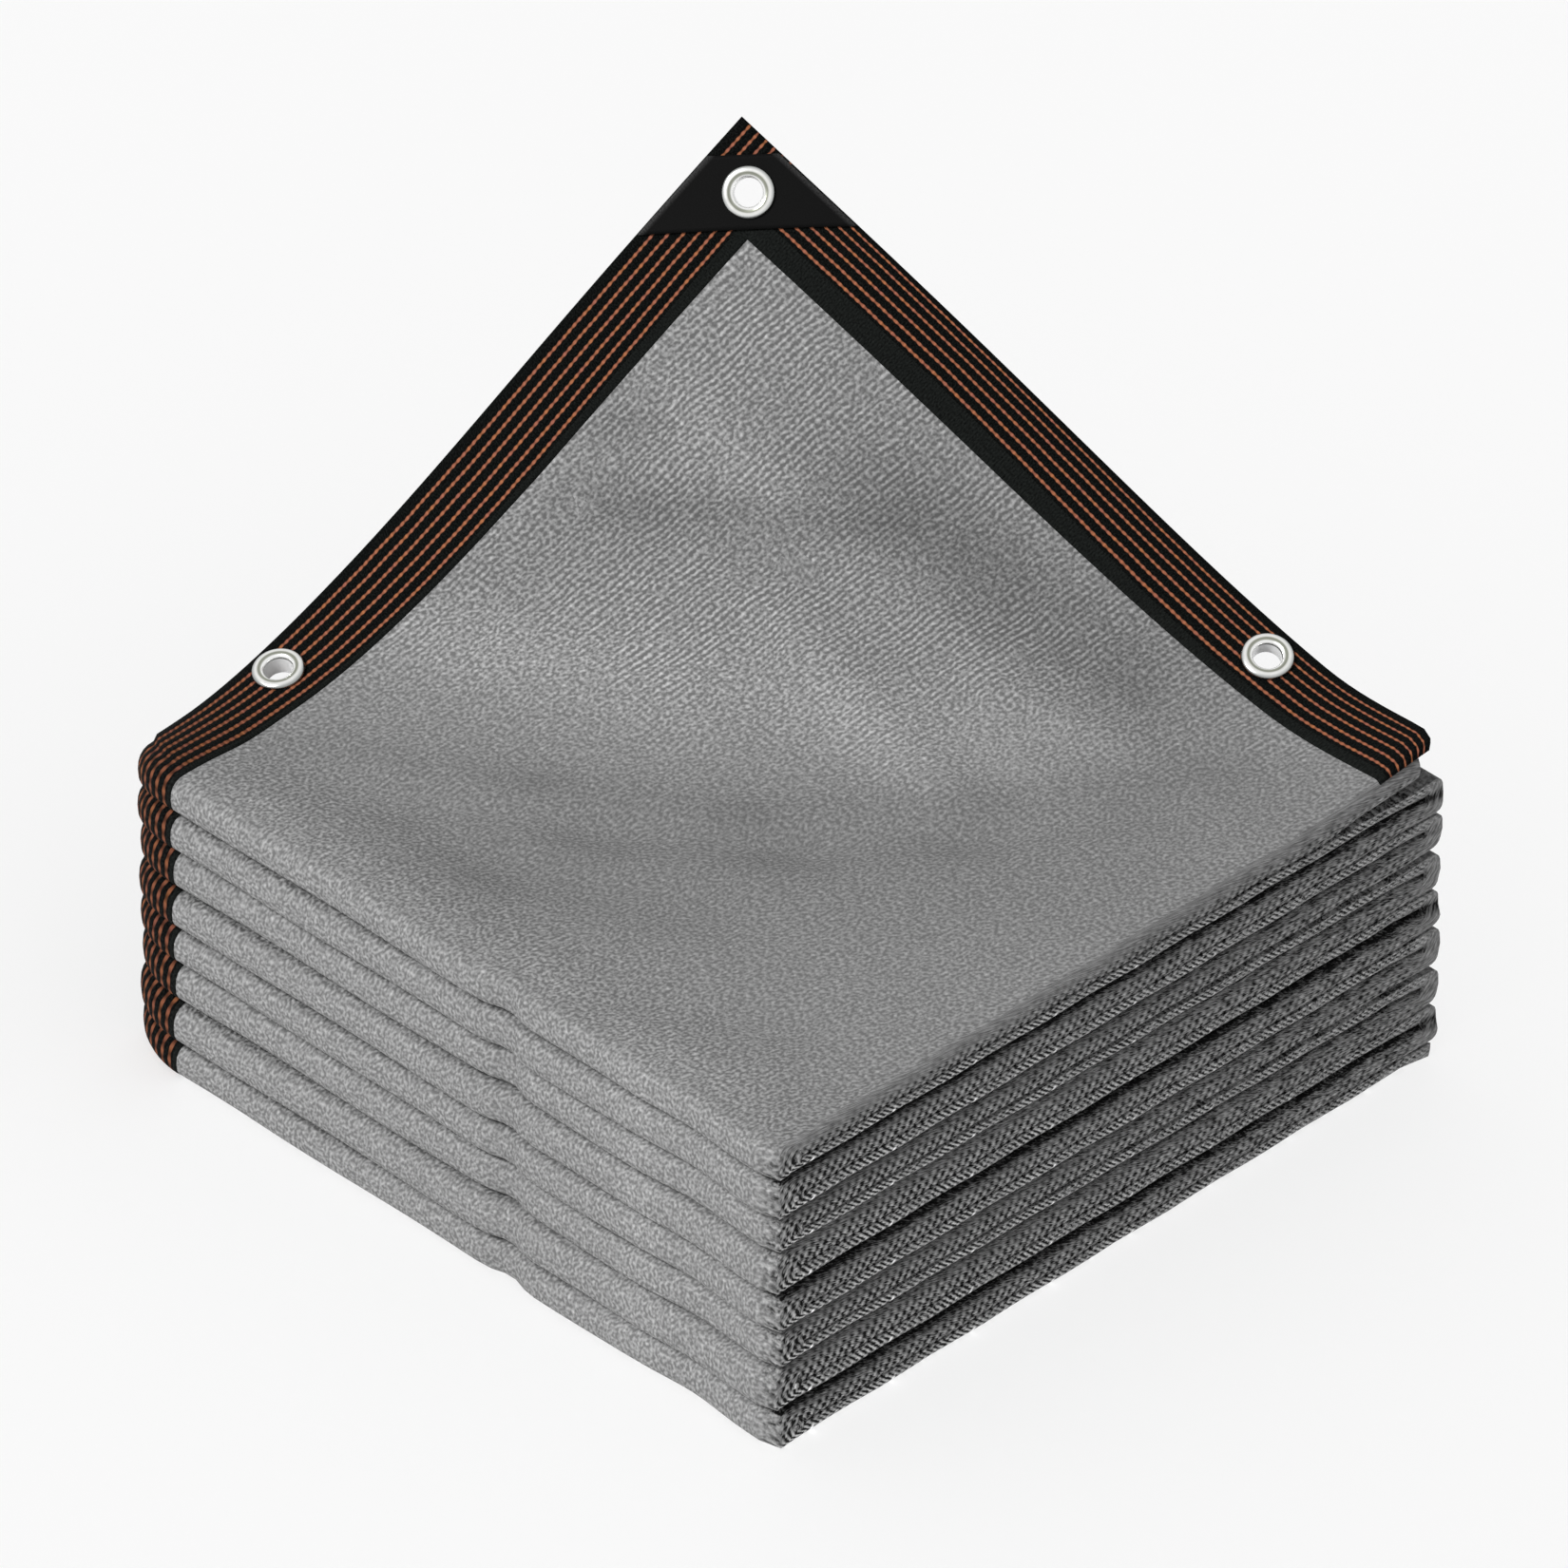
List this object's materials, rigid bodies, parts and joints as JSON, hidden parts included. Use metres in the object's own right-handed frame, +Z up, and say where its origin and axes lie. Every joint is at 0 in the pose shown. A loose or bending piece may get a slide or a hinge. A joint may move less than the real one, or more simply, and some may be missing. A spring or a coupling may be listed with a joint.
{
  "type": "shade cloth",
  "caption": "Knitted grey shade cloth with a striped black webbing binding, metal eyelets and a corner patch, folded flat into a square stack with one corner of the top layer lifted.",
  "frame": {"origin": "on the floor under the middle of the folded stack", "axes": "+Z up, +X along the face with the folds towards the front corner, +Y along the face with the folded edges, away from the front corner"},
  "size_m": [0.4071, 0.403, 0.3441],
  "materials": {
    "knit": "open knitted grey yarn, matt",
    "webbing": "black woven webbing with thin orange stripes",
    "patch": "smooth satin black film",
    "nickel": "bright rolled ring"
  },
  "bodies": {
    "root": {"cloth": "knit", "cloth_lifted": "knit", "side_binding": "webbing", "side_binding_lifted": "webbing", "end_binding_top": "webbing", "end_binding_bottom": "webbing", "corner_patch": "patch", "eyelet_left": "nickel", "eyelet_corner": "nickel", "eyelet_right": "nickel"}
  },
  "joints": []
}
